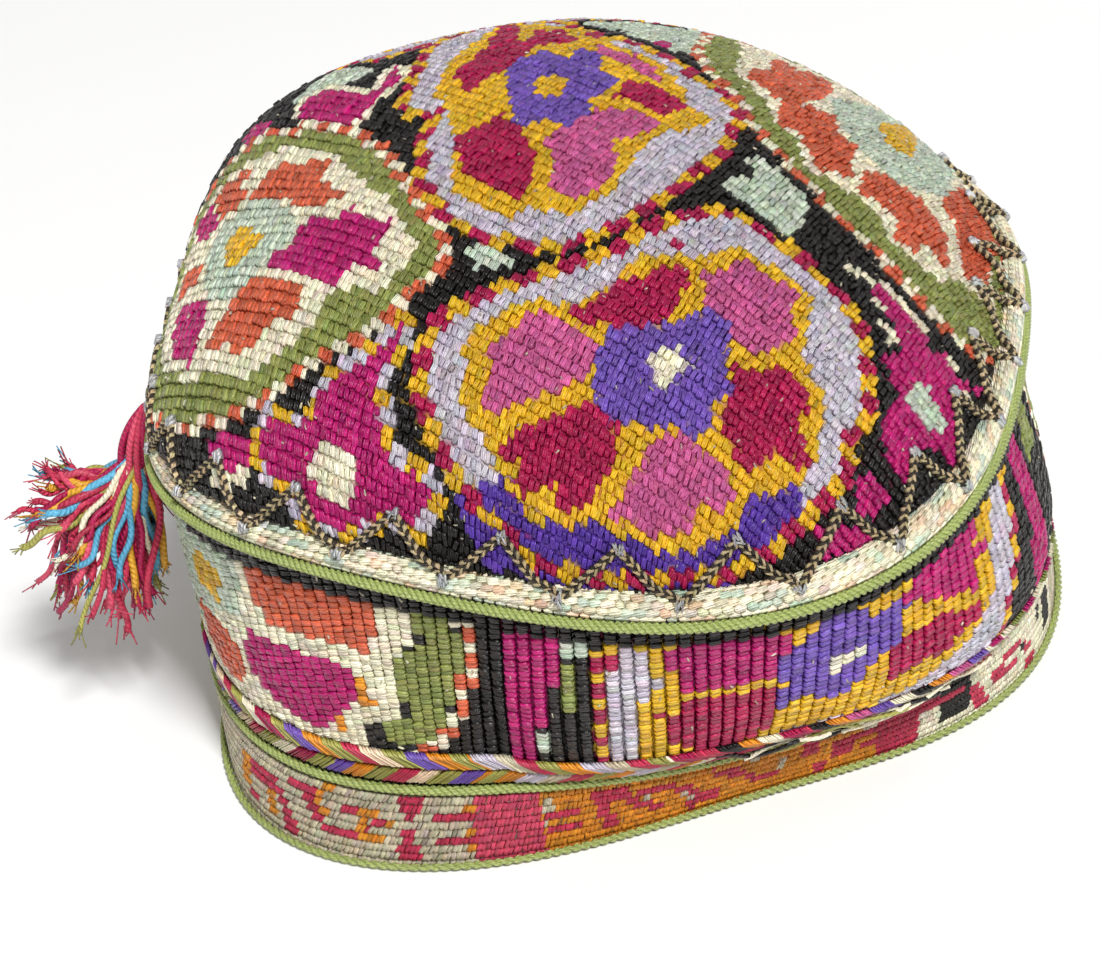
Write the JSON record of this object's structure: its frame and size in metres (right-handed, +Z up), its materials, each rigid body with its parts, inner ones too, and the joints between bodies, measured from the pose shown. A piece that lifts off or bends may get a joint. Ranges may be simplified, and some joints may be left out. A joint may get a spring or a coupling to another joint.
{
  "type": "tubeteika skullcap",
  "caption": "Soft embroidered Central Asian skullcap: domed stitched crown over a side band, with a padded edge roll, zigzag braid, satin and woven trims and a side tassel.",
  "frame": {"origin": "the middle of the head opening, on the plane of the hem that the hat stands on", "axes": "+Z up, from the hem to the top of the crown. The hat's front, as it is seen, is -Y. The tassel hangs on the -X side, so that +X runs from the tassel across the hat"},
  "size_m": [0.2114, 0.1964, 0.118],
  "materials": {
    "crown_stitch": "silk cross stitch all over, medallions on a black ground, soft sheen",
    "band_stitch": "silk cross stitch all over in upright rows, soft sheen",
    "roll_stitch": "padded roll, stitched over in cream, mint and peach",
    "lime_cord": "twisted silk cord",
    "couched_thread": "chain braid of black and beige thread",
    "satin_trim": "slanted satin stitch in many colours",
    "woven_tape": "fine loop-woven patterned tape",
    "tassel_yarn": "loose silk yarn, red with blue, green and gold"
  },
  "bodies": {
    "root": {"crown": "crown_stitch", "side_band": "band_stitch", "edge_roll": "roll_stitch", "roll_braid": "lime_cord", "couched_braid": "couched_thread", "chevron_trim": "satin_trim", "tape_top_cord": "lime_cord", "edge_tape": "woven_tape", "hem_cord": "lime_cord", "tassel_cord": "tassel_yarn", "tassel": "tassel_yarn"}
  },
  "joints": []
}
